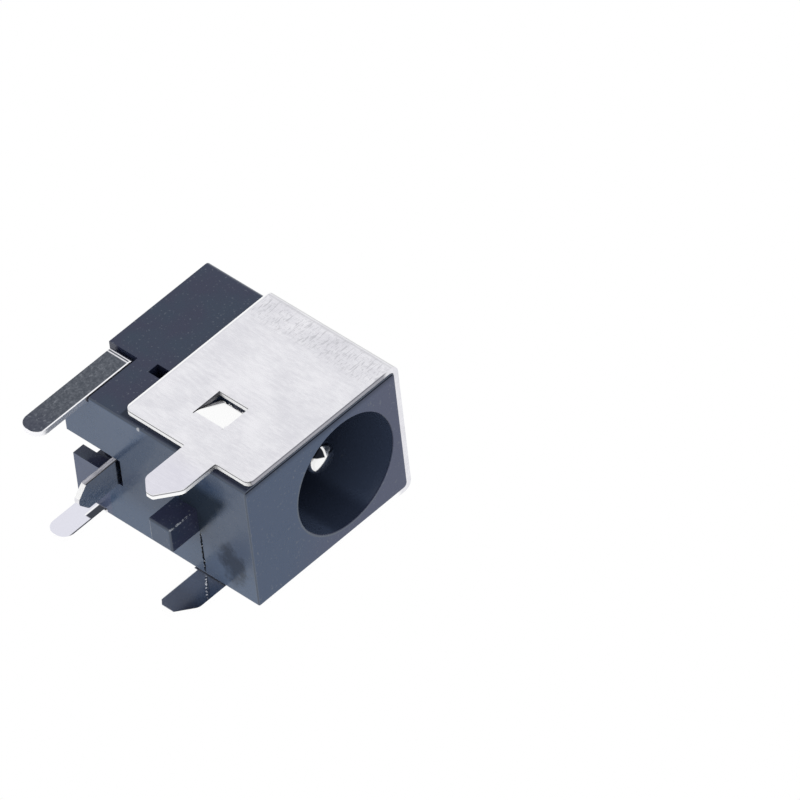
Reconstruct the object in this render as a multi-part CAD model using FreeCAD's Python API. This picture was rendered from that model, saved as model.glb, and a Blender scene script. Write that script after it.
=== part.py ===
import FreeCAD, Part

# A right-angle DC jack for a board, with a folded metal shield.
# X runs across the jack, -Y is the side that the plug enters, +Z points away from the board.
# The origin is on the board face, below the plug axis and midway between front and rear.
import math
import os

from FreeCAD import Vector

# Housing, millimetres
HOUSING_WIDTH = 7.4
HOUSING_HEIGHT = 10.0
HOUSING_LENGTH = 11.8
TOP_EDGE_RADIUS = 0.25
EDGE_RADIUS = 0.12
BORE_DIAMETER = 6.3
BORE_HEIGHT = 6.3
CAVITY_FLOOR_SETBACK = 2.2
BORE_MOUTH_CHAMFER = 0.03
REAR_WALL = 0.9

# Square peg that finds its hole in the board
PEG_X = (-0.5, 0.9)
PEG_FRONT = 3.45
PEG_THICKNESS = 1.35
PEG_LENGTH = 1.8
PEG_EDGE = 0.1

# Windows in the side, from the board face and from the rear face
WINDOW_DEPTH = 0.9
UPPER_WINDOW_REAR = 2.85
UPPER_WINDOW_SIZE = (0.95, 0.65)
UPPER_WINDOW_HEIGHT = 2.95
LOWER_WINDOW_REAR = 5.05
LOWER_WINDOW_SIZE = (1.1, 0.8)
LOWER_WINDOW_HEIGHT = 0.66

# Contacts, folded from one thickness of strip
STRIP = 0.3
BEND_INSIDE = 0.15
TAIL_WIDTH = 1.35
TAIL_TIP_RADIUS = 0.6
SEAT_GAP = 0.05
SLOT_GAP = 0.1

# Spring contact: its tail is on the -X side
SPRING_TAIL_REAR = 0.4
SPRING_TAIL_LENGTH = 3.2
SPRING_TAIL_RELIEF = 0.65
SPRING_PLATE_HEIGHT = 2.95
LEAF_WIDTH = 1.6
LEAF_RISE = 0.55
LEAF_BEND = 0.5
LEAF_PAD = 0.8
LEAF_REACH = 7.8
LEAF_ROOM = 0.5

# Switch contact: its tail is on the +X side
SWITCH_TAIL_REAR = 0.65
SWITCH_TAIL_LENGTH = 2.7
SWITCH_PLATE_HEIGHT = 2.0
SWITCH_RAMP = 0.8
SWITCH_GAP = 0.02

# Neck plates that join each side plate to its arm, ahead of the terminal
NECK_LENGTH = 1.0
NECK_OVERLAP = 1.4
PLATE_END = 1.3

# Centre pin
PIN_DIAMETER = 1.65
PIN_SETBACK = 1.4
PIN_TIP_RADIUS = 0.3
PIN_FLANGE_DIAMETER = 2.4
PIN_FLANGE = 0.3
PIN_SHANK_DIAMETER = 1.2
SHANK_GAP = 0.02
PIN_HEAD_DIAMETER = 1.9
PIN_HEAD = 0.3

# Pin terminal: its tail stands across the jack
TERMINAL_X = (-0.5, 1.0)
TERMINAL_TAIL_REAR = 3.1
TERMINAL_TAIL_LENGTH = 2.6
TERMINAL_TIP_TAPER = 0.55
TERMINAL_EYE_DIAMETER = 2.3
TERMINAL_LEG_HEIGHT = 1.0

# Rear channel for the terminal, and the foot beside it with its open pocket
CHANNEL_GAP = 0.07
CHANNEL_FRONT_GAP = 0.2
CHANNEL_REAR_GAP = 0.6
FOOT_START = 0.85
FOOT_HEIGHT = 0.68
FOOT_SETBACK = 0.25
POCKET_DEPTH = 0.95
POCKET_WIDTH = 1.9

# Shield
SHEET = 0.3
SHIELD_LENGTH = 7.9
SHIELD_FRONT_SETBACK = 0.05
SHIELD_LIFT = 0.38
SHIELD_BEND_INSIDE = 0.2
SHIELD_CORNER_RADIUS = 0.35
SHIELD_TAIL_FRONT = 2.15
SHIELD_TAIL_WIDTH = 1.95
SHIELD_TAIL_LENGTH = 2.9
SHIELD_TAIL_SHOULDERS = (1.75, 2.25)
SHIELD_TAIL_SHOULDER_RADIUS = 0.5
SHIELD_TAIL_TIP_WIDTH = 0.38
SHIELD_TAIL_TIP_SHIFT = 0.1

# Snap tongue lanced from each side of the shield
TONGUE_FRONT = 3.45
TONGUE_WIDTH = 1.75
TONGUE_HEIGHT = 2.12
TONGUE_LENGTH = 1.73
TONGUE_SINK = 0.5
TONGUE_SLIT = 0.06
TONGUE_ROOM = 0.1

# Places worked out from the sizes above
SIDE = HOUSING_WIDTH / 2
FRONT = -HOUSING_LENGTH / 2
REAR = HOUSING_LENGTH / 2
BORE_RADIUS = BORE_DIAMETER / 2
CAVITY_FLOOR = REAR - CAVITY_FLOOR_SETBACK
PLATE_FRONT = CAVITY_FLOOR + REAR_WALL
PLATE_REAR = PLATE_FRONT + STRIP
PEG_Y = (FRONT + PEG_FRONT, FRONT + PEG_FRONT + PEG_THICKNESS)
TERMINAL_TAIL_Y = REAR - TERMINAL_TAIL_REAR
PAST = 1.0

SPRING_Y = (REAR - SPRING_TAIL_REAR - TAIL_WIDTH, REAR - SPRING_TAIL_REAR)
SWITCH_Y = (REAR - SWITCH_TAIL_REAR - TAIL_WIDTH, REAR - SWITCH_TAIL_REAR)
NECK_Y = (PLATE_FRONT - 2 * SLOT_GAP - NECK_LENGTH, PLATE_FRONT - 2 * SLOT_GAP)
LEAF_X = (-LEAF_WIDTH / 2, LEAF_WIDTH / 2)
LEAF_END = NECK_Y[1] - LEAF_REACH

SHIELD_Y = (FRONT + SHIELD_FRONT_SETBACK, FRONT + SHIELD_FRONT_SETBACK + SHIELD_LENGTH)
SHIELD_TAIL_Y = (FRONT + SHIELD_TAIL_FRONT, FRONT + SHIELD_TAIL_FRONT + SHIELD_TAIL_WIDTH)
TONGUE_Y = (FRONT + TONGUE_FRONT, FRONT + TONGUE_FRONT + TONGUE_WIDTH)
TONGUE_Z = (TONGUE_HEIGHT, TONGUE_HEIGHT + TONGUE_LENGTH)


def block(x, y, z):
    """A box between three pairs of limits."""
    return Part.makeBox(x[1] - x[0], y[1] - y[0], z[1] - z[0], Vector(x[0], y[0], z[0]))


def on_xz(y):
    """Places a drawing's points on the plane across the jack at y."""
    return lambda a, b: Vector(a, y, b)


def on_yz(x):
    """Places a drawing's points on the plane along the jack at x."""
    return lambda a, b: Vector(x, a, b)


def rounded_outline(corners, place):
    """A closed wire through corners (a, b, radius), each rounded by its radius."""
    count = len(corners)
    spans = []
    for i in range(count):
        a, b, radius = corners[i]
        before = corners[i - 1]
        after = corners[(i + 1) % count]
        d_in = Vector(a - before[0], b - before[1], 0).normalize()
        d_out = Vector(after[0] - a, after[1] - b, 0).normalize()
        corner = Vector(a, b, 0)
        turn = d_in.getAngle(d_out)
        if radius < 1e-6 or turn < 1e-4:
            spans.append((corner, corner, corner))
            continue
        reach = radius * math.tan(turn / 2)
        start = corner - d_in * reach
        end = corner + d_out * reach
        inward = (d_out - d_in).normalize()
        centre = corner + inward * (radius / math.cos(turn / 2))
        middle = centre - inward * radius
        spans.append((start, middle, end))
    edges = []
    for i in range(count):
        start, middle, end = spans[i]
        following = spans[(i + 1) % count][0]
        if start.distanceToPoint(end) > 1e-6:
            arc = [place(p.x, p.y) for p in (start, middle, end)]
            edges.append(Part.Arc(*arc).toShape())
        if end.distanceToPoint(following) > 1e-6:
            edges.append(Part.makeLine(place(end.x, end.y), place(following.x, following.y)))
    return Part.Wire(Part.__sortEdges__(edges))


def prism(corners, place, along):
    """The rounded outline, drawn out along a vector."""
    return Part.Face(rounded_outline(corners, place)).extrude(along)


def folded_corners(path, thickness, bends):
    """Corners of a strip seen edge on, from its middle line and the inside radius of each bend."""
    left, right = [], []
    last = len(path) - 1
    for i, (a, b) in enumerate(path):
        point = Vector(a, b, 0)
        d_in = (point - Vector(*path[i - 1], 0)).normalize() if i > 0 else None
        d_out = (Vector(*path[i + 1], 0) - point).normalize() if i < last else None
        d_in = d_in or d_out
        d_out = d_out or d_in
        turn = d_in.getAngle(d_out)
        side = Vector(-(d_in.y + d_out.y), d_in.x + d_out.x, 0).normalize()
        step = side * (thickness / 2 / math.cos(turn / 2))
        leftward = d_in.x * d_out.y - d_in.y * d_out.x > 0
        inner = bends[i - 1] if 0 < i < last else 0.0
        outer = inner + thickness if 0 < i < last else 0.0
        left.append((point.x + step.x, point.y + step.y, inner if leftward else outer))
        right.append((point.x - step.x, point.y - step.y, outer if leftward else inner))
    return left + right[::-1]


def folded_strip(path, bends, place, along, thickness=STRIP):
    """A strip folded along its middle line and as wide as the vector along is long."""
    return prism(folded_corners(path, thickness, bends), place, along)


def edges_along(shape, axis, test):
    """The straight edges parallel to an axis whose centre passes a test."""
    found = []
    for edge in shape.Edges:
        if len(edge.Vertexes) != 2 or not isinstance(edge.Curve, (Part.Line, Part.LineSegment)):
            continue
        direction = edge.Vertexes[1].Point - edge.Vertexes[0].Point
        if abs(direction.normalize().dot(axis)) > 0.999 and test(edge.CenterOfMass):
            found.append(edge)
    return found


def cylinder_y(radius, y, x=0.0, z=BORE_HEIGHT):
    """A cylinder along Y between two limits."""
    return Part.makeCylinder(radius, y[1] - y[0], Vector(x, y[0], z), Vector(0, 1, 0))


def fused(first, *others):
    """One solid from shapes that share material, with merged faces."""
    return first.fuse(list(others)).removeSplitter()


def housing_body():
    """The outer block: round edges along the top, small ones elsewhere, and the peg."""
    body = block((-SIDE, SIDE), (FRONT, REAR), (0.0, HOUSING_HEIGHT))
    top = edges_along(body, Vector(0, 1, 0), lambda c: c.z > HOUSING_HEIGHT / 2)
    body = body.makeFillet(TOP_EDGE_RADIUS, top)
    below = edges_along(body, Vector(0, 1, 0), lambda c: c.z < EDGE_RADIUS)
    body = body.makeFillet(EDGE_RADIUS, below)
    ends = [e for e in body.Edges if min(abs(e.CenterOfMass.y - FRONT), abs(e.CenterOfMass.y - REAR)) < 1e-6]
    body = body.makeFillet(EDGE_RADIUS / 2, ends)
    peg = block(PEG_X, PEG_Y, (-PEG_LENGTH, EDGE_RADIUS))
    rim = [e for e in peg.Edges if e.CenterOfMass.z < -PEG_LENGTH / 2 + 1e-6]
    return fused(body, peg.makeFillet(PEG_EDGE, rim))


def plug_cavity():
    """The round hole for the plug, with its chamfered mouth."""
    bore = cylinder_y(BORE_RADIUS, (FRONT - PAST, CAVITY_FLOOR))
    mouth = Part.makeCone(
        BORE_RADIUS + BORE_MOUTH_CHAMFER + PAST,
        BORE_RADIUS,
        BORE_MOUTH_CHAMFER + PAST,
        Vector(0, FRONT - PAST, BORE_HEIGHT),
        Vector(0, 1, 0),
    )
    return bore.fuse(mouth)


def shank_hole():
    """The hole in the rear wall that the pin's shank passes."""
    return cylinder_y(PIN_SHANK_DIAMETER / 2 + SHANK_GAP, (CAVITY_FLOOR - PAST, PLATE_FRONT + PAST))


def arm_channel():
    """The slot below the cavity where both arms lie one above the other, open to the rear."""
    x = (LEAF_X[0] - SLOT_GAP, LEAF_X[1] + SLOT_GAP)
    front = LEAF_END - LEAF_ROOM
    low = block(x, (front, REAR + PAST), (SWITCH_PLATE_HEIGHT, SPRING_PLATE_HEIGHT + STRIP + SEAT_GAP))
    high = block(x, (front, CAVITY_FLOOR), (SWITCH_PLATE_HEIGHT, BORE_HEIGHT - BORE_RADIUS + LEAF_RISE))
    return low.fuse(high)


def contact_slot(sign, tail_y, height):
    """Room for one contact: its flush tail on the side, its plate and its neck."""
    ceiling = height + STRIP + SEAT_GAP
    tail_x = sorted((sign * (SIDE + PAST), sign * (SIDE - STRIP)))
    plate_x = sorted((sign * (SIDE + PAST), sign * LEAF_WIDTH / 2))
    neck_x = sorted((sign * (LEAF_WIDTH / 2 + NECK_OVERLAP + SLOT_GAP), 0.0))
    tail = block(tail_x, (tail_y[0] - SLOT_GAP, REAR + PAST), (-PAST, ceiling))
    plate = block(plate_x, (tail_y[0] - SLOT_GAP, REAR + PAST), (height, ceiling))
    joint = block(neck_x, (NECK_Y[0] - SLOT_GAP, REAR), (height, ceiling))
    relief_x = sorted((sign * (SIDE + PAST), sign * (SIDE - STRIP - BEND_INSIDE)))
    relief = block(relief_x, (tail_y[0] - SLOT_GAP, REAR + PAST), (height - BEND_INSIDE, ceiling))
    return tail.fuse([plate, joint, relief])


def tail_relief():
    """The rear corner of the housing, cut back behind the spring contact's tail."""
    ceiling = SPRING_PLATE_HEIGHT + STRIP + SEAT_GAP
    return block((-SIDE - PAST, -SIDE + SPRING_TAIL_RELIEF), (SPRING_Y[1], REAR + PAST), (-PAST, ceiling))


def terminal_slot():
    """The keyhole behind the cavity for the terminal plate, and the channel down to the board."""
    x = (TERMINAL_X[0] - CHANNEL_GAP, TERMINAL_X[1] + CHANNEL_GAP)
    roof = TERMINAL_LEG_HEIGHT + STRIP + SEAT_GAP
    front = TERMINAL_TAIL_Y - STRIP / 2 - CHANNEL_FRONT_GAP
    tail_rear = TERMINAL_TAIL_Y + STRIP / 2 + CHANNEL_REAR_GAP
    riser = block(x, (PLATE_FRONT, REAR + PAST), (FOOT_HEIGHT, BORE_HEIGHT))
    eye = cylinder_y(TERMINAL_EYE_DIAMETER / 2 + SLOT_GAP, (PLATE_FRONT, REAR + PAST))
    leg = block(x, (front, REAR + PAST), (FOOT_HEIGHT, roof))
    relief = block(x, (PLATE_FRONT - BEND_INSIDE, REAR + PAST), (FOOT_HEIGHT, roof + BEND_INSIDE))
    tail = block(x, (front, tail_rear), (-PAST, roof))
    mouth = block((x[0], FOOT_START), (front, REAR + PAST), (-PAST, roof))
    return riser.fuse([eye, leg, relief, tail, mouth])


def rear_pocket():
    """The open pocket above the foot, and the step that sets the foot back."""
    pocket_x = (FOOT_START, FOOT_START + POCKET_WIDTH)
    pocket = block(pocket_x, (REAR - POCKET_DEPTH, REAR + PAST), (FOOT_HEIGHT, SWITCH_PLATE_HEIGHT))
    step = block((FOOT_START, SIDE + PAST), (REAR - FOOT_SETBACK, REAR + PAST), (-PAST, FOOT_HEIGHT))
    return pocket.fuse(step)


def side_windows():
    """The two small square windows cored into the -X side."""
    cuts = []
    for rear, size, height in (
        (UPPER_WINDOW_REAR, UPPER_WINDOW_SIZE, UPPER_WINDOW_HEIGHT),
        (LOWER_WINDOW_REAR, LOWER_WINDOW_SIZE, LOWER_WINDOW_HEIGHT),
    ):
        y = (REAR - rear - size[0], REAR - rear)
        z = (height, height + size[1])
        cuts.append(block((-SIDE - PAST, -SIDE + WINDOW_DEPTH), y, z))
    return cuts


def tongue_recesses():
    """Catches for the shield's snap tongues: sloped pockets with a square upper edge."""
    y = (TONGUE_Y[0] - TONGUE_ROOM, TONGUE_Y[1] + TONGUE_ROOM)
    depth = TONGUE_SINK + 2 * TONGUE_ROOM
    cuts = []
    for sign in (-1, 1):
        corners = [
            (sign * (SIDE + PAST), TONGUE_Z[0] - TONGUE_ROOM, 0.0),
            (sign * SIDE, TONGUE_Z[0] - TONGUE_ROOM, 0.0),
            (sign * (SIDE - depth), TONGUE_Z[1] - 2 * TONGUE_ROOM, 0.0),
            (sign * (SIDE - depth), TONGUE_Z[1] + TONGUE_ROOM, 0.0),
            (sign * (SIDE + PAST), TONGUE_Z[1] + TONGUE_ROOM, 0.0),
        ]
        cuts.append(prism(corners, on_xz(y[0]), Vector(0, y[1] - y[0], 0)))
    return cuts


def housing():
    """The moulded block with its cavity, contact slots, pockets and peg."""
    cuts = [plug_cavity(), shank_hole(), arm_channel(), terminal_slot(), rear_pocket()]
    cuts.append(contact_slot(-1, SPRING_Y, SPRING_PLATE_HEIGHT))
    cuts.append(contact_slot(1, SWITCH_Y, SWITCH_PLATE_HEIGHT))
    cuts.append(tail_relief())
    cuts.extend(side_windows())
    cuts.extend(tongue_recesses())
    return housing_body().cut(cuts).removeSplitter()


def shield_section():
    """The folded U, as long as the shield and down to the tips of its tails."""
    middle = SIDE + SHEET / 2
    top = HOUSING_HEIGHT + SHEET / 2
    path = [(-middle, -SHIELD_TAIL_LENGTH), (-middle, top), (middle, top), (middle, -SHIELD_TAIL_LENGTH)]
    bends = [SHIELD_BEND_INSIDE, SHIELD_BEND_INSIDE]
    along = Vector(0, SHIELD_Y[1] - SHIELD_Y[0], 0)
    return folded_strip(path, bends, on_xz(SHIELD_Y[0]), along, SHEET)


def shield_silhouette():
    """The blank's outline seen from the side: a plate with a tapered tail below it."""
    tip = (SHIELD_TAIL_Y[0] + SHIELD_TAIL_Y[1]) / 2 + SHIELD_TAIL_TIP_SHIFT
    tip_y = (tip - SHIELD_TAIL_TIP_WIDTH / 2, tip + SHIELD_TAIL_TIP_WIDTH / 2)
    corners = [
        (SHIELD_Y[0], HOUSING_HEIGHT + PAST, 0.0),
        (SHIELD_Y[0], SHIELD_LIFT, SHIELD_CORNER_RADIUS),
        (SHIELD_TAIL_Y[0], SHIELD_LIFT, SHEET / 3),
        (SHIELD_TAIL_Y[0], -SHIELD_TAIL_SHOULDERS[0], SHIELD_TAIL_SHOULDER_RADIUS),
        (tip_y[0], -SHIELD_TAIL_LENGTH, SHEET / 2),
        (tip_y[1], -SHIELD_TAIL_LENGTH, SHEET / 2),
        (SHIELD_TAIL_Y[1], -SHIELD_TAIL_SHOULDERS[1], SHIELD_TAIL_SHOULDER_RADIUS),
        (SHIELD_TAIL_Y[1], SHIELD_LIFT, SHEET / 3),
        (SHIELD_Y[1], SHIELD_LIFT, SHIELD_CORNER_RADIUS),
        (SHIELD_Y[1], HOUSING_HEIGHT + PAST, 0.0),
    ]
    across = 2 * (SIDE + SHEET + PAST)
    return prism(corners, on_yz(-across / 2), Vector(across, 0, 0))


def tongue(sign):
    """One snap tongue, hinged at its board side and bent inward."""
    middle = SIDE + SHEET / 2
    path = [
        (sign * middle, TONGUE_Z[0] - SHEET),
        (sign * middle, TONGUE_Z[0] + SHEET / 2),
        (sign * (middle - TONGUE_SINK), TONGUE_Z[1] - TONGUE_SLIT),
    ]
    along = Vector(0, TONGUE_WIDTH, 0)
    return folded_strip(path, [SHEET], on_xz(TONGUE_Y[0]), along, SHEET)


def tongue_window(sign):
    """The opening that the tongue leaves, a slit wider than the tongue."""
    y = (TONGUE_Y[0] - TONGUE_SLIT, TONGUE_Y[1] + TONGUE_SLIT)
    x = sorted((sign * (SIDE - SHEET), sign * (SIDE + 2 * SHEET)))
    return block(x, y, (TONGUE_Z[0], TONGUE_Z[1] + TONGUE_SLIT))


def shield():
    """The folded shield with its two tails and two snap tongues."""
    plate = shield_section().common(shield_silhouette())
    plate = plate.cut([tongue_window(-1), tongue_window(1)])
    return fused(plate, tongue(-1), tongue(1))


def centre_pin():
    """The turned pin: round-edged tip, flange on the cavity floor, shank and riveted head."""
    tip = FRONT + PIN_SETBACK
    radius = PIN_DIAMETER / 2
    head = PIN_HEAD_DIAMETER / 2
    corners = [
        (0.0, tip, 0.0),
        (radius, tip, PIN_TIP_RADIUS),
        (radius, CAVITY_FLOOR - PIN_FLANGE, 0.0),
        (PIN_FLANGE_DIAMETER / 2, CAVITY_FLOOR - PIN_FLANGE, PIN_FLANGE / 4),
        (PIN_FLANGE_DIAMETER / 2, CAVITY_FLOOR, 0.0),
        (PIN_SHANK_DIAMETER / 2, CAVITY_FLOOR, 0.0),
        (PIN_SHANK_DIAMETER / 2, PLATE_REAR, 0.0),
        (head, PLATE_REAR, 0.0),
        (head, PLATE_REAR + PIN_HEAD, PIN_HEAD * 0.8),
        (0.0, PLATE_REAR + PIN_HEAD, 0.0),
    ]
    profile = Part.Face(rounded_outline(corners, lambda a, b: Vector(a, b, BORE_HEIGHT)))
    return profile.revolve(Vector(0, 0, BORE_HEIGHT), Vector(0, 1, 0), 360)


def tail_cutter(edge, length, place, along):
    """What is cut away round a tail's end to leave a rounded tip."""
    low = -length
    blank = [
        (edge[0] - PAST, low - PAST, 0.0),
        (edge[1] + PAST, low - PAST, 0.0),
        (edge[1] + PAST, low + TAIL_TIP_RADIUS, 0.0),
        (edge[0] - PAST, low + TAIL_TIP_RADIUS, 0.0),
    ]
    kept = [
        (edge[0], low + 2 * TAIL_TIP_RADIUS, 0.0),
        (edge[0], low, TAIL_TIP_RADIUS),
        (edge[1], low, TAIL_TIP_RADIUS),
        (edge[1], low + 2 * TAIL_TIP_RADIUS, 0.0),
    ]
    return prism(blank, place, along).cut(prism(kept, place, along))


def side_tail(sign, tail_y, height, length):
    """A tail flush with the housing's side, folded over into the plate that enters its slot."""
    outside = sign * (SIDE - STRIP / 2)
    level = height + STRIP / 2
    path = [(outside, -length), (outside, level), (sign * PLATE_END, level)]
    along = Vector(0, tail_y[1] - tail_y[0], 0)
    strip = folded_strip(path, [BEND_INSIDE], on_xz(tail_y[0]), along)
    start = sign * (SIDE + PAST)
    cutter = tail_cutter(tail_y, length, on_yz(start), Vector(-sign * (STRIP + 2 * PAST), 0, 0))
    return strip.cut(cutter)


def neck(sign, height):
    """The plate that joins the side of a contact to its arm."""
    x = sorted((sign * (LEAF_WIDTH / 2 + NECK_OVERLAP), -sign * LEAF_WIDTH / 2))
    return block(x, NECK_Y, (height, height + STRIP))


def spring_contact():
    """Tail, plate and the bowed leaf that presses on the plug's barrel."""
    level = SPRING_PLATE_HEIGHT + STRIP / 2
    crest = (NECK_Y[0] + LEAF_END) / 2
    path = [
        (NECK_Y[1], level),
        (NECK_Y[0], level),
        (crest, level + LEAF_RISE),
        (LEAF_END + LEAF_PAD, level),
        (LEAF_END, level),
    ]
    along = Vector(LEAF_WIDTH, 0, 0)
    leaf = folded_strip(path, [LEAF_BEND, 2 * LEAF_BEND, LEAF_BEND], on_yz(LEAF_X[0]), along)
    tail = side_tail(-1, SPRING_Y, SPRING_PLATE_HEIGHT, SPRING_TAIL_LENGTH)
    return fused(tail, neck(-1, SPRING_PLATE_HEIGHT), leaf)


def switch_contact():
    """Tail, plate and the arm that the leaf's end rests on while no plug is in."""
    level = SWITCH_PLATE_HEIGHT + STRIP / 2
    pad_level = SPRING_PLATE_HEIGHT - SWITCH_GAP - STRIP / 2
    path = [
        (NECK_Y[1], level),
        (LEAF_END + LEAF_PAD + SWITCH_RAMP, level),
        (LEAF_END + LEAF_PAD, pad_level),
        (LEAF_END, pad_level),
    ]
    along = Vector(LEAF_WIDTH, 0, 0)
    arm = folded_strip(path, [BEND_INSIDE, BEND_INSIDE], on_yz(LEAF_X[0]), along)
    tail = side_tail(1, SWITCH_Y, SWITCH_PLATE_HEIGHT, SWITCH_TAIL_LENGTH)
    return fused(tail, neck(1, SWITCH_PLATE_HEIGHT), arm)


def pin_terminal():
    """The eye riveted to the pin, its riser, the leg under the cavity and the tail across the jack."""
    plate_y = PLATE_FRONT + STRIP / 2
    leg = TERMINAL_LEG_HEIGHT + STRIP / 2
    path = [
        (plate_y, BORE_HEIGHT),
        (plate_y, leg),
        (TERMINAL_TAIL_Y, leg),
        (TERMINAL_TAIL_Y, -TERMINAL_TAIL_LENGTH),
    ]
    width = TERMINAL_X[1] - TERMINAL_X[0]
    along = Vector(width, 0, 0)
    strip = folded_strip(path, [BEND_INSIDE, BEND_INSIDE], on_yz(TERMINAL_X[0]), along)
    eye = cylinder_y(TERMINAL_EYE_DIAMETER / 2, (PLATE_FRONT, PLATE_REAR))
    hole = cylinder_y(PIN_SHANK_DIAMETER / 2, (PLATE_FRONT - PAST, PLATE_REAR + PAST))
    low = -TERMINAL_TAIL_LENGTH
    middle = (TERMINAL_X[0] + TERMINAL_X[1]) / 2
    past_x = (TERMINAL_X[0] - PAST, TERMINAL_X[1] + PAST)
    blank = [
        (past_x[0], low - PAST, 0.0),
        (past_x[1], low - PAST, 0.0),
        (past_x[1], low + TERMINAL_TIP_TAPER, 0.0),
        (past_x[0], low + TERMINAL_TIP_TAPER, 0.0),
    ]
    kept = [
        (TERMINAL_X[0], low + 2 * TERMINAL_TIP_TAPER, 0.0),
        (TERMINAL_X[0], low + TERMINAL_TIP_TAPER, STRIP),
        (middle - STRIP / 2, low, STRIP),
        (middle + STRIP / 2, low, STRIP),
        (TERMINAL_X[1], low + TERMINAL_TIP_TAPER, STRIP),
        (TERMINAL_X[1], low + 2 * TERMINAL_TIP_TAPER, 0.0),
    ]
    place = on_xz(TERMINAL_TAIL_Y - STRIP)
    through = Vector(0, 2 * STRIP, 0)
    cutter = prism(blank, place, through).cut(prism(kept, place, through))
    return fused(strip, eye).cut([hole, cutter])


NODES = {
    "housing": housing,
    "shield": shield,
    "centre_pin": centre_pin,
    "pin_terminal": pin_terminal,
    "spring_contact": spring_contact,
    "switch_contact": switch_contact,
}

os.makedirs("parts", exist_ok=True)
for name, make in NODES.items():
    shape = make()
    if shape.ShapeType == "Compound" and len(shape.Solids) == 1:
        shape = shape.Solids[0]
    shape.exportStep("parts/" + name + ".step")
    box = shape.BoundBox
    size = " x ".join(f"{v:.2f}" for v in (box.XLength, box.YLength, box.ZLength))
    print(f"{name}: {len(shape.Solids)} solid, valid {shape.isValid()}, {shape.Volume:.2f} mm3, {size} mm")
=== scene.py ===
import random

import bpy
from mathutils import Matrix, Vector


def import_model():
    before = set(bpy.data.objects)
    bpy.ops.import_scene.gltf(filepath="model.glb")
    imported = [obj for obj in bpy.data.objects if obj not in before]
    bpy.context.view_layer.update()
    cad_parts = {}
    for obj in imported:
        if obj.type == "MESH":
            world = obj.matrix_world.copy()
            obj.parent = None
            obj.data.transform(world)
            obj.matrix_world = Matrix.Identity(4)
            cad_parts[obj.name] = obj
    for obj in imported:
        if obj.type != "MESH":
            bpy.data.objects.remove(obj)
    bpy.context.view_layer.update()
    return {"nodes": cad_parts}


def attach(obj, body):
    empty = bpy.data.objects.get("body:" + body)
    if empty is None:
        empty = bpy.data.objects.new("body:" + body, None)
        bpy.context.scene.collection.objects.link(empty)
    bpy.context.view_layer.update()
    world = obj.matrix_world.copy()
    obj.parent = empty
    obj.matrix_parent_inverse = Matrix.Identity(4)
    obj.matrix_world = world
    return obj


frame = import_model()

MM = 0.001
RNG = random.Random(7)

# The jack in millimetres, as the solids have it
SIDE = 3.7
FRONT = -5.9
SHEET = 0.3
SHIELD_REAR = 2.05
TAIL_LOW = -3.2
BORE_Z = 6.3
BORE_RADIUS = 3.15
BORE_FLOOR = 3.7
SWITCH_FRONT = 3.9
SPRING_FRONT = 4.15
TERMINAL_FRONT = 2.65
PEG_CORNER = (-0.47, -2.42)
UPPER_WINDOW = ((2.0, 3.15), (2.85, 3.70))
TONGUE_WINDOW = ((-2.6, -0.6), (2.0, 4.0))
TONGUE_END = (3.485, 3.835)
TONGUE_HINGE_Y = -2.48
PARTING_Y = -2.5

# Places of marks that the photograph shows, in millimetres
LIGHT_DOT = (-3.60, 0.88, 0.0)
DARK_PATCH = (1.85, -4.45)

# Where the lamps aim, in millimetres, and where the photographer stands, as seen from the jack
CENTRE = (0.0, 0.0, 4.0)
FLAG = (-0.70, -0.53, -0.48)


def rgb(r, g, b):
    return (r, g, b, 1.0)


WHITE = rgb(1.0, 1.0, 1.0)
NEAR_WHITE = rgb(0.97, 0.97, 0.97)
FLASH = rgb(0.350, 0.371, 0.406)


# Small node builder: values are sockets or numbers

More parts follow.
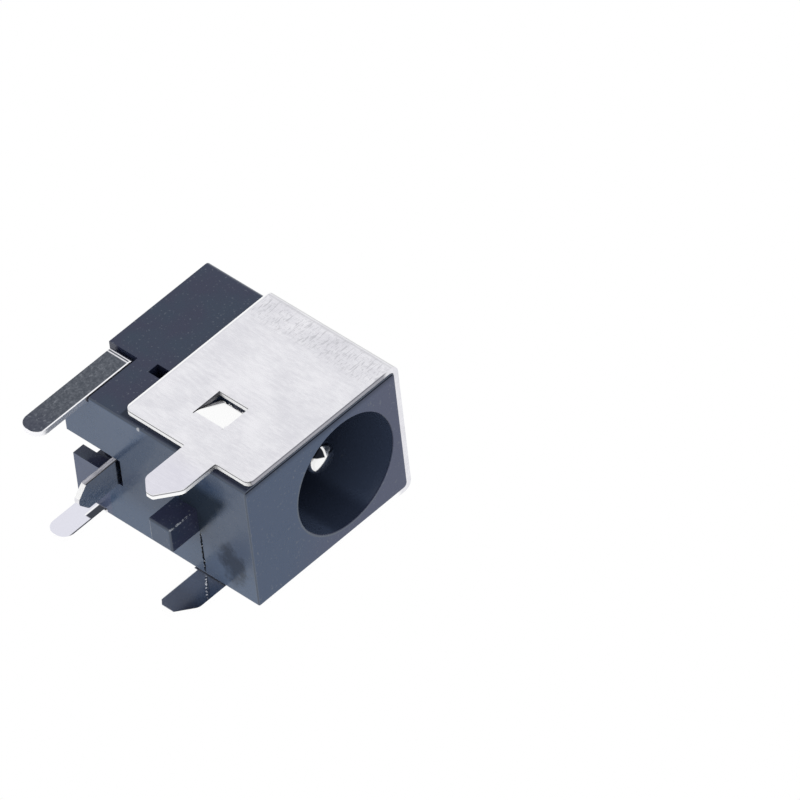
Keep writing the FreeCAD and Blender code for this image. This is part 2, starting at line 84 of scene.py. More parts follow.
class Tree:
    """Builds a material's nodes from short calls."""

    def __init__(self, name):
        self.mat = bpy.data.materials.new(name)
        self.mat.use_nodes = True
        self.nt = self.mat.node_tree
        self.nt.nodes.clear()
        self.out = self.nt.nodes.new("ShaderNodeOutputMaterial")
        coord = self.nt.nodes.new("ShaderNodeTexCoord")
        scale = self.nt.nodes.new("ShaderNodeVectorMath")
        scale.operation = "SCALE"
        scale.inputs["Scale"].default_value = 1 / MM
        self.nt.links.new(coord.outputs["Object"], scale.inputs[0])
        self.mm = scale.outputs[0]
        sep = self.nt.nodes.new("ShaderNodeSeparateXYZ")
        self.nt.links.new(self.mm, sep.inputs[0])
        self.x, self.y, self.z = sep.outputs
        nsep = self.nt.nodes.new("ShaderNodeSeparateXYZ")
        self.normal = coord.outputs["Normal"]
        self.nt.links.new(self.normal, nsep.inputs[0])
        self.nx, self.ny, self.nz = nsep.outputs

    def put(self, socket, value):
        if isinstance(value, bpy.types.NodeSocket):
            self.nt.links.new(value, socket)
        else:
            socket.default_value = value

    def math(self, op, a, b=0.0):
        n = self.nt.nodes.new("ShaderNodeMath")
        n.operation = op
        for socket, value in zip(n.inputs, (a, b)):
            self.put(socket, value)
        return n.outputs[0]

    def mul(self, *values):
        total = values[0]
        for v in values[1:]:
            total = self.math("MULTIPLY", total, v)
        return total

    def add(self, a, b):
        return self.math("ADD", a, b)

    def sub(self, a, b):
        return self.math("SUBTRACT", a, b)

    def absolute(self, a):
        return self.math("ABSOLUTE", a)

    def length(self, a, b):
        """The length of the flat vector (a, b)."""
        return self.math("SQRT", self.add(self.mul(a, a), self.mul(b, b)))

    def top(self, *values):
        """The largest of some values, which joins masks."""
        total = values[0]
        for v in values[1:]:
            total = self.math("MAXIMUM", total, v)
        return total

    def ramp(self, value, lo, hi, at_lo=0.0, at_hi=1.0):
        """A smooth step from at_lo to at_hi."""
        n = self.nt.nodes.new("ShaderNodeMapRange")
        n.interpolation_type = "SMOOTHSTEP"
        limits = {"From Min": lo, "From Max": hi, "To Min": at_lo, "To Max": at_hi}
        self.put(n.inputs["Value"], value)
        for key, v in limits.items():
            self.put(n.inputs[key], v)
        return n.outputs[0]

    def band(self, value, lo, hi, soft):
        """1 between lo and hi, 0 outside, with soft borders."""
        up = self.ramp(value, lo - soft, lo + soft)
        down = self.ramp(value, hi - soft, hi + soft, 1.0, 0.0)
        return self.mul(up, down)

    def stretched(self, sx, sy, sz, shift=0.0):
        n = self.nt.nodes.new("ShaderNodeMapping")
        n.inputs["Scale"].default_value = (sx, sy, sz)
        n.inputs["Location"].default_value = (shift, shift, shift)
        self.nt.links.new(self.mm, n.inputs["Vector"])
        return n.outputs[0]

    def noise(self, vector, scale, detail=3.0, rough=0.5):
        n = self.nt.nodes.new("ShaderNodeTexNoise")
        n.inputs["Scale"].default_value = scale
        n.inputs["Detail"].default_value = detail
        n.inputs["Roughness"].default_value = rough
        self.nt.links.new(vector, n.inputs["Vector"])
        return n.outputs["Fac"]

    def specks(self, scale, size, share, shift=0.0):
        """Round dots in a share of a random grid's cells."""
        n = self.nt.nodes.new("ShaderNodeTexVoronoi")
        n.inputs["Scale"].default_value = scale
        self.nt.links.new(self.stretched(1, 1, 1, shift), n.inputs["Vector"])
        sep = self.nt.nodes.new("ShaderNodeSeparateColor")
        self.nt.links.new(n.outputs["Color"], sep.inputs[0])
        chosen = self.ramp(sep.outputs[0], 1 - share, 1 - share + 0.01)
        past = self.sub(n.outputs["Distance"], self.mul(sep.outputs[1], size))
        dot = self.ramp(past, -0.02, 0.03, 1.0, 0.0)
        return self.mul(chosen, dot)

    def mix(self, fac, a, b):
        """Colour a, turning to b where fac is 1. Sockets 6, 7 and 2 are the node's colour ones."""
        n = self.nt.nodes.new("ShaderNodeMix")
        n.data_type = "RGBA"
        self.put(n.inputs[0], fac)
        self.put(n.inputs[6], a)
        self.put(n.inputs[7], b)
        return n.outputs[2]

    def turned(self, mask, direction):
        """The surface's normal, turned toward a direction of the part where the mask is 1.

        Sockets 4, 5 and 1 are the node's vector ones.
        """
        blend = self.nt.nodes.new("ShaderNodeMix")
        blend.data_type = "VECTOR"
        self.put(blend.inputs[0], mask)
        self.nt.links.new(self.normal, blend.inputs[4])
        self.put(blend.inputs[5], direction)
        world = self.nt.nodes.new("ShaderNodeVectorTransform")
        world.vector_type = "NORMAL"
        world.convert_from = "OBJECT"
        world.convert_to = "WORLD"
        self.nt.links.new(blend.outputs[1], world.inputs[0])
        unit = self.nt.nodes.new("ShaderNodeVectorMath")
        unit.operation = "NORMALIZE"
        self.nt.links.new(world.outputs[0], unit.inputs[0])
        return unit.outputs[0]

    def vector(self, x, y, z):
        n = self.nt.nodes.new("ShaderNodeCombineXYZ")
        for socket, value in zip(n.inputs, (x, y, z)):
            self.put(socket, value)
        return n.outputs[0]

    def near(self, place, radius):
        """1 within a radius of a place in millimetres."""
        n = self.nt.nodes.new("ShaderNodeVectorMath")
        n.operation = "DISTANCE"
        self.nt.links.new(self.mm, n.inputs[0])
        n.inputs[1].default_value = place
        return self.ramp(n.outputs["Value"], radius * 0.7, radius * 1.2, 1.0, 0.0)

    def near_line(self, place, radius):
        """1 within a radius of a line along Z through (x, y)."""
        away = self.length(self.sub(self.x, place[0]), self.sub(self.y, place[1]))
        return self.ramp(away, radius * 0.8, radius * 1.2, 1.0, 0.0)

    def bump(self, height, strength, distance, normal=None):
        n = self.nt.nodes.new("ShaderNodeBump")
        n.inputs["Strength"].default_value = strength
        n.inputs["Distance"].default_value = distance * MM
        self.nt.links.new(height, n.inputs["Height"])
        if normal is not None:
            self.nt.links.new(normal, n.inputs["Normal"])
        return n.outputs[0]

    def surface(self, color, metallic, roughness, normal=None, gloss=None, **fixed):
        p = self.nt.nodes.new("ShaderNodeBsdfPrincipled")
        self.put(p.inputs["Base Color"], color)
        self.put(p.inputs["Metallic"], metallic)
        self.put(p.inputs["Roughness"], roughness)
        for key, v in fixed.items():
            p.inputs[key.replace("_", " ")].default_value = v
        if normal is not None:
            self.nt.links.new(normal, p.inputs["Normal"])
        if gloss is not None:
            self.nt.links.new(gloss, p.inputs["Specular IOR Level"])
        self.nt.links.new(p.outputs[0], self.out.inputs["Surface"])
        return self.mat


def moulded():
    """Black moulded plastic with a faint mottle and dust.

    Each face that the photograph shows has its tint from there: lit copies of one plastic, painted light and
    shade. Its darker and lighter areas are painted shade and painted highlight, placed by position.
    """
    t = Tree("moulded_black")
    up = t.sub(t.z, BORE_Z)
    radius = t.length(t.x, up)
    mottle = t.noise(t.mm, 0.55, 4.0)
    base = t.mix(t.ramp(mottle, 0.35, 0.7), rgb(0.022, 0.025, 0.055), rgb(0.019, 0.031, 0.059))

    # Board face, its foot and the lighter corner behind a slanted line: lit copies of the plastic, painted light
    # and shade. The lighter corner is a painted reflection.
    on_board = t.mul(t.ramp(t.nz, -0.8, -0.95), t.ramp(t.z, 0.1, 0.05))
    base = t.mix(on_board, base, rgb(0.040, 0.064, 0.115))
    base = t.mix(t.mul(on_board, t.ramp(t.x, 0.8, 2.6)), base, rgb(0.057, 0.091, 0.158))
    foot = t.mul(on_board, t.ramp(t.y, 3.4, 3.5), t.ramp(t.x, 0.80, 0.84))
    base = t.mix(foot, base, rgb(0.076, 0.096, 0.166))
    reflection_border = t.sub(t.y, t.add(t.mul(t.x, 0.857), 3.41))
    corner = t.mul(on_board, t.ramp(reflection_border, -0.12, 0.12), t.ramp(t.x, -0.5, -0.6))
    base = t.mix(corner, base, rgb(0.063, 0.095, 0.161))

    # Front face, its lower edge, the cavity and the cavity's rim. The front face's tint and its gradient across
    # are painted shade, the lighter lower edge and the rim are painted highlights, and the cavity's lighter tint
    # is painted reflection from its mouth.
    on_front = t.mul(t.ramp(t.ny, -0.9, -0.98), t.ramp(t.y, FRONT + 0.15, FRONT + 0.1))
    across = t.ramp(t.add(t.mul(t.x, 0.5), up), -3.5, 2.0)
    front = t.mix(across, rgb(0.029, 0.053, 0.108), rgb(0.046, 0.055, 0.105))
    base = t.mix(on_front, base, front)
    lower_edge = t.mul(t.ramp(t.y, FRONT + 0.12, FRONT + 0.02), t.ramp(t.z, 0.12, 0.02))
    base = t.mix(lower_edge, base, rgb(0.090, 0.108, 0.145))
    inside = t.mul(
        t.ramp(radius, BORE_RADIUS + 0.05, BORE_RADIUS + 0.01),
        t.ramp(t.y, FRONT + 0.04, FRONT + 0.08),
        t.ramp(t.y, BORE_FLOOR + 0.1, BORE_FLOOR + 0.05),
    )
    base = t.mix(inside, base, rgb(0.041, 0.056, 0.096))
    lower_right = t.ramp(t.sub(t.x, up), -0.5, 1.5)
    rim = t.mul(on_front, t.band(radius, BORE_RADIUS + 0.02, BORE_RADIUS + 0.11, 0.03), lower_right)
    base = t.mix(t.mul(rim, 0.8), base, rgb(0.073, 0.089, 0.115))

    # Dust, and painted highlight on the rounded edges
    dust = t.top(t.specks(1.3, 0.10, 0.40), t.specks(3.0, 0.14, 0.20, 5.0))
    base = t.mix(t.mul(dust, 0.5), base, rgb(0.105, 0.119, 0.147))
    powder = t.mul(t.ramp(t.noise(t.mm, 7.0, 2.0), 0.64, 0.70), t.sub(1.0, inside))
    base = t.mix(t.mul(powder, 0.45), base, rgb(0.119, 0.133, 0.161))
    facing = t.top(t.absolute(t.nx), t.absolute(t.ny), t.absolute(t.nz))
    edge_highlight = t.mul(t.ramp(facing, 0.985, 0.93), t.ramp(radius, BORE_RADIUS + 0.15, BORE_RADIUS + 0.25))
    base = t.mix(t.mul(edge_highlight, 0.8), base, rgb(0.066, 0.080, 0.108))
    bits = t.ramp(t.noise(t.stretched(1.0, 1.0, 0.8), 6.0, 4.0, 0.7), 0.44, 0.56)
    peg_edge = t.mul(t.near_line(PEG_CORNER, 0.045), t.ramp(t.z, -0.35, -0.5), bits)
    base = t.mix(peg_edge, base, FLASH)
    base = t.mix(t.near(LIGHT_DOT, 0.10), base, rgb(0.420, 0.434, 0.462))

    # Dark areas on the board face: painted shadow beside the peg, and a darker, less glossy area
    cloud = t.add(t.mul(t.noise(t.mm, 1.5, 4.0, 0.6), 2.2), -1.1)
    patch_x = t.mul(t.sub(t.x, DARK_PATCH[0]), 0.9)
    patch_y = t.mul(t.sub(t.y, DARK_PATCH[1]), 1.15)
    spread = t.add(t.length(patch_x, patch_y), cloud)
    dark_patch = t.mul(on_board, t.ramp(spread, 0.45, 1.30, 1.0, 0.0))
    slope = t.sub(t.y, t.mul(t.x, 0.648))
    lee = t.mul(on_board, t.ramp(slope, -3.50, -2.90), t.ramp(t.y, -1.2, -1.4))
    lee = t.mul(lee, t.ramp(t.x, 1.0, 0.85), t.ramp(t.x, -2.7, -1.7), t.ramp(t.z, -0.3, -0.1))
    base = t.mix(t.mul(lee, 0.75), base, rgb(0.009, 0.013, 0.017))
    base = t.mix(t.mul(dark_patch, 0.75), base, rgb(0.008, 0.015, 0.029))

    # Painted shadow along the shield's edges and painted shade in the small window
    window_y, window_z = UPPER_WINDOW
    window = t.mul(t.band(t.y, *window_y, 0.01), t.band(t.z, *window_z, 0.01), t.band(t.x, -3.66, -2.7, 0.02))
    gap = t.mul(on_front, t.ramp(t.x, -3.52, -3.60))
    beside = t.mul(on_front, t.ramp(t.x, -3.20, -3.60))
    behind = t.ramp(t.y, SHIELD_REAR + 0.16, SHIELD_REAR + 0.04)
    under = t.mul(t.ramp(t.absolute(t.nx), 0.90, 0.98), behind, t.ramp(t.z, 0.1, 0.2))
    shade = t.top(t.mul(window, 0.55), gap, t.mul(beside, 0.45), t.mul(under, 0.5))
    base = t.mix(shade, base, rgb(0.004, 0.006, 0.014))

    gloss = t.sub(0.5, t.mul(t.top(shade, t.mul(t.top(lee, dark_patch), 0.5)), 0.46))
    rough = t.ramp(t.noise(t.mm, 1.6, 4.0), 0.3, 0.7, 0.15, 0.30)
    normal = t.bump(t.noise(t.mm, 1.2, 3.0), 0.22, 0.02)
    return t.surface(base, 0.0, rough, normal, gloss, IOR=1.45, Specular_Tint=rgb(0.80, 0.88, 1.0))


def parting():
    """The ridge that the mould's halves leave: near black, which is painted shade, with light bits of flash."""
    t = Tree("parting_flash")
    bits = t.ramp(t.noise(t.mm, 8.0, 2.0), 0.60, 0.64)
    base = t.mix(bits, rgb(0.002, 0.003, 0.006), FLASH)
    return t.surface(base, 0.0, 0.6, IOR=1.2)


def tinned_sheet():
    """The shield: near-white tin with a rolled grain, tool marks at the bends and sheared edges.

    Its dark and bright edges are painted shade and painted highlight, placed by position, as are the darker bends,
    the bright tongue and the right tail's darker inner face; some normals are turned, as the photograph shows
    them.
    """
    t = Tree("tinned_sheet")
    grain = t.noise(t.stretched(4.0, 0.7, 4.0), 1.5, 5.0, 0.6)
    fine = t.noise(t.stretched(14.0, 1.6, 14.0), 2.0, 3.0, 0.6)
    cloud = t.noise(t.mm, 0.5, 3.0)
    tone = t.add(t.mul(grain, 0.35), t.add(t.mul(fine, 0.30), t.mul(cloud, 0.35)))
    base = t.mix(t.ramp(tone, 0.38, 0.62), rgb(0.71, 0.705, 0.75), rgb(0.84, 0.835, 0.87))
    side_face = t.ramp(t.absolute(t.nx), 0.6, 0.9)
    marks_at = t.mul(t.band(t.z, 8.4, 9.9, 0.3), side_face)
    strokes = t.ramp(t.noise(t.stretched(1.0, 5.5, 1.0), 1.7, 2.0), 0.56, 0.66)
    ticks = t.ramp(t.noise(t.stretched(1.0, 6.0, 2.5), 2.4, 2.0), 0.56, 0.66)
    marks = t.mul(marks_at, t.top(t.mul(strokes, 0.50), t.mul(ticks, 0.38)))
    base = t.mix(marks, base, rgb(0.42, 0.42, 0.45))
    below = t.mul(side_face, t.ramp(t.z, 0.2, -1.2), t.ramp(t.x, 0.1, -0.1))
    base = t.mix(t.mul(below, 0.6), base, rgb(0.71, 0.70, 0.79))
    dots = t.specks(0.9, 0.08, 0.12, 3.0)
    base = t.mix(t.mul(dots, 0.35), base, rgb(0.42, 0.42, 0.45))
    # Darker bands where the top bends turn: painted shade.
    bend = t.mul(t.band(t.nz, 0.10, 0.35, 0.05), t.ramp(t.z, 9.8, 9.9))
    base = t.mix(t.mul(bend, 0.35), base, rgb(0.45, 0.45, 0.47))
    shoulder = t.mul(t.band(t.nz, 0.52, 0.90, 0.05), t.ramp(t.z, 9.8, 9.9))
    base = t.mix(t.mul(shoulder, 0.7), base, rgb(0.50, 0.51, 0.50))
    burr = t.band(t.y, SHIELD_REAR - 0.16, SHIELD_REAR - 0.11, 0.02)
    base = t.mix(t.mul(burr, t.ramp(grain, 0.4, 0.6), 0.3), base, rgb(0.45, 0.45, 0.48))
    # A white line along the rear edge: painted highlight.
    rear_line = t.mul(side_face, t.ramp(t.y, SHIELD_REAR - 0.10, SHIELD_REAR - 0.06))
    base = t.mix(rear_line, base, WHITE)
    depth = t.sub(SIDE + SHEET, t.absolute(t.x))
    # The sheared edges painted white: painted highlight. On the left side a grey front edge and a dark line near
    # the outer face: painted shade.
    flank = t.mul(t.ramp(t.absolute(t.nx), 0.5, 0.2), t.ramp(t.z, 9.7, 9.3))
    base = t.mix(flank, base, WHITE)
    left = t.ramp(t.x, 0.1, -0.1)
    front_edge = t.mul(flank, left, t.ramp(t.y, FRONT + 0.12, FRONT + 0.08))
    base = t.mix(front_edge, base, rgb(0.40, 0.40, 0.44))
    core = t.mul(flank, left, t.band(depth, 0.03, 0.10, 0.02), 0.85)
    base = t.mix(core, base, rgb(0.15, 0.15, 0.18))
    window_y, window_z = TONGUE_WINDOW
    in_window = t.mul(t.band(t.y, *window_y, 0.02), t.band(t.z, *window_z, 0.02))
    # A darker wedge on the window's slit faces: painted shade.
    wedge = t.mul(flank, in_window, t.ramp(t.ny, -0.4, -0.7))
    base = t.mix(t.mul(wedge, 0.8), base, rgb(0.16, 0.16, 0.19))
    # The tongue painted near white: painted highlight, helped by its normal turned below.
    tongue = t.mul(t.ramp(t.nz, 0.06, 0.12), side_face, t.ramp(t.z, 4.3, 4.2))
    base = t.mix(tongue, base, NEAR_WHITE)
    # The right tail's inner face painted darker, a painted shade, with a white edge that is a painted highlight.
    tail_in = t.mul(t.ramp(t.nx, -0.6, -0.9), t.ramp(t.x, 3.5, 3.6), t.ramp(t.z, 0.0, -0.1))
    bright_rim = t.mul(tail_in, t.top(t.ramp(t.y, -2.05, -1.98), t.ramp(t.z, -2.66, -2.74)))
    base = t.mix(tail_in, base, rgb(0.54, 0.55, 0.61))
    base = t.mix(bright_rim, base, WHITE)
    slant = t.sub(t.y, t.mul(t.z, 1.048))
    flecks = t.ramp(t.noise(t.mm, 7.0, 2.0), 0.52, 0.58)
    trail = t.mul(tail_in, t.band(slant, -2.53, -2.40, 0.03), t.ramp(t.z, -1.3, -0.9), flecks)
    base = t.mix(trail, base, rgb(0.62, 0.64, 0.70))
    rough = t.ramp(tone, 0.3, 0.7, 0.24, 0.14)
    rough = t.top(rough, t.mul(t.top(t.mul(flank, left), trail), 0.5))
    underside = t.mul(flank, left, t.ramp(t.nz, -0.3, -0.6), t.ramp(t.z, 0.1, 0.2))
    down = t.top(underside, bright_rim, trail)
    outward = t.ramp(t.nx, 0.3, 0.5, -0.9, 0.9)
    lean = t.turned(t.top(tongue, down), t.vector(outward, 0.0, t.ramp(down, 0.0, 1.0, -0.2, -0.8)))
    normal = t.bump(t.add(grain, t.mul(fine, 0.5)), 0.10, 0.01, lean)
    return t.surface(base, 1.0, rough, normal)


def strip_metal(name):
    """Tinned contact strip with its grain along the tails."""
    t = Tree(name)
    grain = t.noise(t.stretched(6.0, 6.0, 1.2), 1.5, 4.0, 0.6)
    base = t.mix(t.ramp(grain, 0.3, 0.7), rgb(0.70, 0.70, 0.73), rgb(0.84, 0.83, 0.87))
    rough = t.ramp(grain, 0.3, 0.7, 0.12, 0.24)
    return t, grain, base, rough


def spring_strip():
    """The spring contact: plating dark and spotted from wear on the outer face, with painted highlights at the
    bend, its front corner and its edges.
    """
    t, grain, base, rough = strip_metal("spring_strip")
    spots = t.noise(t.mm, 6.0, 5.0, 0.75)
    dark = t.mix(t.ramp(spots, 0.38, 0.66), rgb(0.078, 0.088, 0.108), rgb(0.140, 0.152, 0.178))
    dark = t.mix(t.ramp(t.z, -1.0, -3.0, 0.0, 0.45), dark, rgb(0.055, 0.058, 0.092))
    pricks = t.ramp(t.noise(t.stretched(1.0, 1.0, 0.6), 7.0, 2.0), 0.60, 0.68)
    dark = t.mix(t.mul(pricks, 0.25), dark, rgb(0.36, 0.38, 0.42))
    face = t.ramp(t.nx, -0.80, -0.93)
    # A bright line at the bend and a bright front corner kept clear of the dark plating, and bright edges: painted
    # highlight.
    line = t.band(t.z, 2.76, 2.83, 0.02)
    corner = t.band(t.y, SPRING_FRONT - 0.1, SPRING_FRONT + 0.07, 0.015)
    bright = t.top(line, corner)
    covered = t.mul(face, t.ramp(t.z, 2.94, 2.90), t.sub(1.0, bright))
    base = t.mix(covered, base, dark)
    edge = t.mul(t.ramp(t.absolute(t.nx), 0.5, 0.2), t.ramp(t.z, 3.0, 2.9))
    base = t.mix(t.top(edge, t.mul(face, corner)), base, rgb(0.97, 0.97, 0.99))
    rough = t.ramp(t.top(covered, edge), 0.0, 1.0, 0.18, 0.42)
    return t.surface(base, 1.0, rough, t.bump(grain, 0.08, 0.01))


def switch_strip():
    """The switch contact: bright, with painted shade at the front of its tail's root and along its front edge, and
    painted highlights behind that shade and on its edges.
    """
    t, grain, base, rough = strip_metal("switch_strip")
    face = t.mul(t.ramp(t.nx, -0.80, -0.93), t.ramp(t.z, 0.0, -0.05))
    base = t.mix(face, base, rgb(0.75, 0.75, 0.83))
    # Painted shade at the front of the tail's root and along its front edge; painted highlight in a band behind it
    # and on the edges.
    root = t.ramp(t.z, -0.98, -0.90)
    patch = t.mul(face, t.ramp(t.y, SWITCH_FRONT + 0.40, SWITCH_FRONT + 0.36), root)
    rest = t.mul(face, t.band(t.y, SWITCH_FRONT - 0.1, SWITCH_FRONT + 0.07, 0.02))
    base = t.mix(t.top(patch, rest), base, rgb(0.045, 0.050, 0.065))
    rim = t.mul(face, t.band(t.y, SWITCH_FRONT + 0.40, SWITCH_FRONT + 0.46, 0.02), root)
    base = t.mix(rim, base, NEAR_WHITE)
    edge = t.mul(t.ramp(t.absolute(t.nx), 0.5, 0.2), t.ramp(t.z, 0.0, -0.05))
    base = t.mix(edge, base, WHITE)
    lean = t.turned(t.mul(face, 0.55), (-0.6, 0.5, -0.6))
    return t.surface(base, 1.0, rough, t.bump(grain, 0.08, 0.01, lean))


def terminal_strip():
    """The pin's terminal: its sheared edges are rough and its bevelled edge is painted white, a painted highlight.
    """
    t, grain, base, rough = strip_metal("terminal_strip")
    edge = t.mul(t.ramp(t.nx, -0.3, -0.6), t.ramp(t.z, 0.2, 0.1))
    stripes = t.noise(t.stretched(1.0, 9.0, 1.0), 1.5, 3.0)
    sheared = t.mix(t.ramp(stripes, 0.35, 0.6), rgb(0.33, 0.33, 0.37), rgb(0.62, 0.62, 0.67))
    dark_line = t.ramp(t.y, TERMINAL_FRONT + 0.09, TERMINAL_FRONT + 0.05)
    sheared = t.mix(dark_line, sheared, rgb(0.06, 0.06, 0.07))
    # The bevelled edge painted white: painted highlight.
    taper = t.mul(edge, t.ramp(t.nz, -0.1, -0.3))
    base = t.mix(edge, base, sheared)
    base = t.mix(taper, base, WHITE)
    front = t.mul(t.ramp(t.ny, -0.8, -0.95), t.ramp(t.z, 0.2, 0.1))
    base = t.mix(front, base, rgb(0.70, 0.72, 0.76))
    rough = t.top(rough, t.mul(edge, 0.6))
    sideways = t.vector(
        t.ramp(front, 0.0, 1.0, -0.7, -0.2),
        t.ramp(front, 0.0, 1.0, 0.3, -0.98),
        t.ramp(front, 0.0, 1.0, -0.65, 0.0),
    )
    lean = t.turned(t.top(t.mul(edge, 0.7), front), sideways)
    return t.surface(base, 1.0, rough, t.bump(grain, 0.08, 0.01, lean))


def plated_pin():
    """Bright plating with turning rings and a slightly domed end.

    The end's dark wedge is painted shade and its darker upper part a painted reflection of the dark bore, both
    placed by position, as the photograph shows them.
    """
    t = Tree("plated_pin")
    rings = t.noise(t.stretched(0.6, 9.0, 0.6), 1.5, 3.0)
    base = t.mix(t.ramp(rings, 0.35, 0.65), rgb(0.82, 0.82, 0.82), rgb(0.95, 0.95, 0.95))
    rough = t.ramp(rings, 0.3, 0.7, 0.08, 0.14)
    end = t.ramp(t.ny, -0.9, -0.98)
    up = t.sub(t.z, BORE_Z)
    dome = t.vector(t.mul(t.x, 0.75), -1.0, t.mul(up, 0.75))
    across = t.sub(t.x, t.mul(up, 0.59))
    above = t.sub(up, t.mul(t.x, 0.172))
    tip = t.ramp(t.ny, -0.25, -0.50)
    # A dark wedge on the end: painted shade.
    dark = t.mul(tip, t.ramp(across, -0.13, -0.20), t.ramp(above, 0.13, 0.09))
    base = t.mix(dark, base, rgb(0.012, 0.014, 0.020))
    # A darker, mottled upper part of the end: painted reflection of the dark bore.
    dark_reflection = t.mul(tip, t.ramp(t.x, -0.02, -0.20), t.ramp(above, 0.20, 0.25))
    mottle = t.ramp(t.noise(t.mm, 5.0, 3.0), 0.42, 0.58)
    base = t.mix(dark_reflection, base, t.mix(mottle, rgb(0.02, 0.025, 0.035), rgb(0.22, 0.24, 0.28)))
    return t.surface(base, 1.0, rough, t.bump(rings, 0.03, 0.01, t.turned(end, dome)))


def dress(node, material):
    """Gives a solid its material in every slot."""
    mesh = frame["nodes"][node].data
    if not mesh.materials:
        mesh.materials.append(material)
    for i in range(len(mesh.materials)):
        mesh.materials[i] = material


dress("housing", moulded())
TIN = tinned_sheet()
dress("shield", TIN)
dress("centre_pin", plated_pin())
dress("pin_terminal", terminal_strip())
dress("switch_contact", switch_strip())
dress("spring_contact", spring_strip())


def piece(name, verts, faces, material):
    """A mesh piece in millimetres that rides on the jack."""
    mesh = bpy.data.meshes.new(name)
    mesh.from_pydata([Vector(v) * MM for v in verts], [], faces)
    mesh.validate()
    mesh.update()
    mesh.materials.append(material)
    obj = bpy.data.objects.new(name, mesh)
    bpy.context.scene.collection.objects.link(obj)
    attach(obj, "root")


def ridge(name, start, end, up, across, height, width, steps, material):
    """A thin uneven ridge between two points, such as a parting line or a burr leaves."""
    start, end, up, across = (Vector(v) for v in (start, end, up, across))
    verts, faces = [], []
    for i in range(steps + 1):
        k = i / steps
        fade = min(1.0, 6 * k, 6 * (1 - k))
        h = height * (0.35 + 0.65 * RNG.random()) * fade
        w = width * (0.7 + 0.6 * RNG.random()) / 2
        wander = across * (RNG.random() - 0.5) * width * 0.4
        base = start.lerp(end, k) + wander
        verts += [base - across * w - up * 0.01, base + up * h, base + across * w - up * 0.01]
    for i in range(steps):
        a = 3 * i
        faces += [(a, a + 1, a + 4, a + 3), (a + 1, a + 2, a + 5, a + 4)]
    piece(name, verts, faces, material)


ridge("parting_line", (0.9, PARTING_Y, 0.0), (3.58, PARTING_Y, 0.0), (0, 0, -1), (0, 1, 0),
      0.06, 0.14, 60, parting())

for sign, side in ((-1, "left"), (1, "right")):
    x, z = sign * TONGUE_END[0], TONGUE_END[1]
    ridge("tongue_burr_" + side, (x, -2.43, z), (x, -0.72, z), (sign * 0.35, 0, 0.94), (1, 0, 0),
          0.12, 0.08, 30, TIN)
    x = sign * (SIDE + SHEET - 0.005)
    ridge("hinge_burr_" + side, (x, TONGUE_HINGE_Y, 2.10), (x, TONGUE_HINGE_Y, 2.47), (sign, 0, 0), (0, 1, 0),
          0.02, 0.10, 10, TIN)


# Floor, world and lamps

def floor():
    """A pale floor that the tails stand on. From below it isn't there."""
    half = 400 * MM
    mesh = bpy.data.meshes.new("studio_floor")
    corners = [(x * half, y * half, TAIL_LOW * MM) for x, y in ((-1, -1), (1, -1), (1, 1), (-1, 1))]
    mesh.from_pydata(corners, [], [(0, 1, 2, 3)])
    obj = bpy.data.objects.new("studio_floor", mesh)
    bpy.context.scene.collection.objects.link(obj)
    mat = bpy.data.materials.new("pale_floor")
    mat.use_nodes = True
    nt = mat.node_tree
    nt.nodes.clear()
    out = nt.nodes.new("ShaderNodeOutputMaterial")
    pale = nt.nodes.new("ShaderNodeBsdfDiffuse")
    pale.inputs["Color"].default_value = rgb(0.86, 0.86, 0.86)
    clear = nt.nodes.new("ShaderNodeBsdfTransparent")
    geo = nt.nodes.new("ShaderNodeNewGeometry")
    mix = nt.nodes.new("ShaderNodeMixShader")
    nt.links.new(geo.outputs["Backfacing"], mix.inputs[0])
    nt.links.new(pale.outputs[0], mix.inputs[1])
    nt.links.new(clear.outputs[0], mix.inputs[2])
    nt.links.new(mix.outputs[0], out.inputs["Surface"])
    mesh.materials.append(mat)
    obj.visible_diffuse = False
    obj.visible_glossy = False
    obj.visible_shadow = False


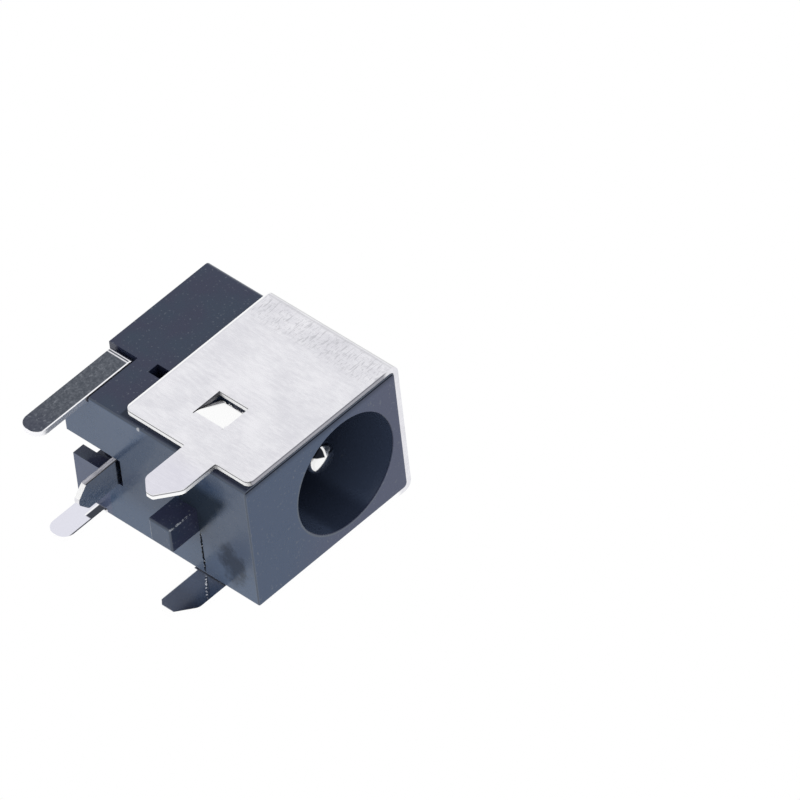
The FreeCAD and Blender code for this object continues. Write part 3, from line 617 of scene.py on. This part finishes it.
def world():
    """Soft even light, white to the camera. Reflections darken toward the photographer's place."""
    w = bpy.data.worlds.new("studio")
    bpy.context.scene.world = w
    w.use_nodes = True
    nt = w.node_tree
    nt.nodes.clear()
    out = nt.nodes.new("ShaderNodeOutputWorld")
    coord = nt.nodes.new("ShaderNodeTexCoord")
    dot = nt.nodes.new("ShaderNodeVectorMath")
    dot.operation = "DOT_PRODUCT"
    dot.inputs[1].default_value = FLAG
    nt.links.new(coord.outputs["Generated"], dot.inputs[0])
    fade = nt.nodes.new("ShaderNodeMapRange")
    fade.interpolation_type = "SMOOTHSTEP"
    for key, v in (("From Min", 0.55), ("From Max", 0.90), ("To Min", 1.0), ("To Max", 0.30)):
        fade.inputs[key].default_value = v
    nt.links.new(dot.outputs["Value"], fade.inputs["Value"])
    path = nt.nodes.new("ShaderNodeLightPath")

    def background(strength):
        n = nt.nodes.new("ShaderNodeBackground")
        n.inputs["Color"].default_value = WHITE
        if isinstance(strength, float):
            n.inputs["Strength"].default_value = strength
        else:
            nt.links.new(strength, n.inputs["Strength"])
        return n.outputs[0]

    def choose(by, first, second):
        n = nt.nodes.new("ShaderNodeMixShader")
        nt.links.new(by, n.inputs[0])
        nt.links.new(first, n.inputs[1])
        nt.links.new(second, n.inputs[2])
        return n.outputs[0]

    light = choose(path.outputs["Is Glossy Ray"], background(0.85), background(fade.outputs[0]))
    light = choose(path.outputs["Is Transmission Ray"], light, background(1.0))
    light = choose(path.outputs["Is Camera Ray"], light, background(1.0))
    nt.links.new(light, out.inputs["Surface"])


def lamp(name, place, target, size, power):
    """A square soft lamp aimed at a point. The places and the size are in millimetres."""
    data = bpy.data.lights.new(name, "AREA")
    data.shape = "SQUARE"
    data.size = size * MM
    data.energy = power
    obj = bpy.data.objects.new(name, data)
    obj.location = Vector(place) * MM
    aim = (Vector(target) - Vector(place)).normalized()
    obj.rotation_mode = "QUATERNION"
    obj.rotation_quaternion = aim.to_track_quat("-Z", "Y")
    bpy.context.scene.collection.objects.link(obj)
    obj.visible_glossy = False


floor()
world()
lamp("key", (-70, -40, 60), CENTRE, 60, 0.016)
lamp("fill_low", (-40, -60, -70), CENTRE, 60, 0.012)
lamp("back", (60, 60, 50), CENTRE, 60, 0.010)
lamp("overhead", (10, 0, 100), CENTRE, 80, 0.020)

# Camera at the photograph's viewing angle: its view's right, down and forward, and its place in millimetres
RIGHT = Vector((0.08486, -0.72692, 0.68146))
DOWN = Vector((0.70668, -0.43824, -0.55547))
AHEAD = Vector((0.70243, 0.52871, 0.47651))
PLACE = Vector((-464.53, -354.23, -303.78))

cam_data = bpy.data.cameras.new("camera")
cam_data.sensor_width = 36.0
cam_data.lens = 645.0
cam_data.clip_start = 0.01
cam_data.clip_end = 5.0
cam = bpy.data.objects.new("camera", cam_data)
turn = Matrix((RIGHT, -DOWN, -AHEAD)).transposed()
cam.matrix_world = Matrix.Translation(PLACE * MM) @ turn.to_4x4()
bpy.context.scene.collection.objects.link(cam)
bpy.context.scene.camera = cam
bpy.context.scene.view_settings.view_transform = "Standard"
